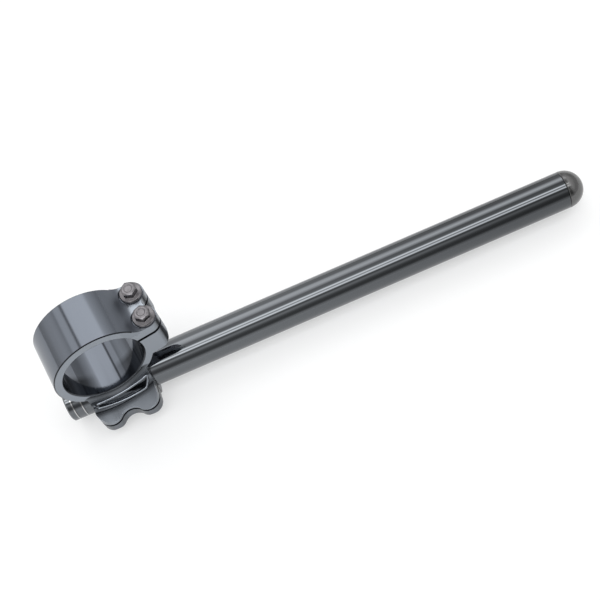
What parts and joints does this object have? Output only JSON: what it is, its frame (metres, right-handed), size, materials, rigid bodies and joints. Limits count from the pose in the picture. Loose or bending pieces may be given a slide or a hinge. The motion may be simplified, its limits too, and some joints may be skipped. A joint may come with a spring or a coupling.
{
  "type": "clip on handlebar",
  "caption": "Straight tubular handlebar with a domed end, held in a split clamp block whose wide ring grips a fork tube.",
  "frame": {"origin": "centre of the fork bore, on its axis, midway between the two faces of the ring", "axes": "+Y along the fork axis, +Z along the fork pinch bolts towards their heads, +X out towards the free end of the bar, which droops 8 degrees towards -Y"},
  "size_m": [0.3216, 0.0691, 0.0848],
  "materials": {
    "anodised_body": "satin black anodised",
    "anodised_bar": "satin black anodised, drawn tube",
    "end_plug": "satin dark grey",
    "bolt_steel": "bright zinc plated"
  },
  "bodies": {
    "root": {"clamp_body": "anodised_body", "bar_tube": "anodised_bar", "bar_end_plug": "end_plug", "fork_pinch_bolt_front": "bolt_steel", "fork_pinch_bolt_rear": "bolt_steel", "bar_pinch_bolt_inner": "bolt_steel", "bar_pinch_bolt_outer": "bolt_steel"}
  },
  "joints": []
}
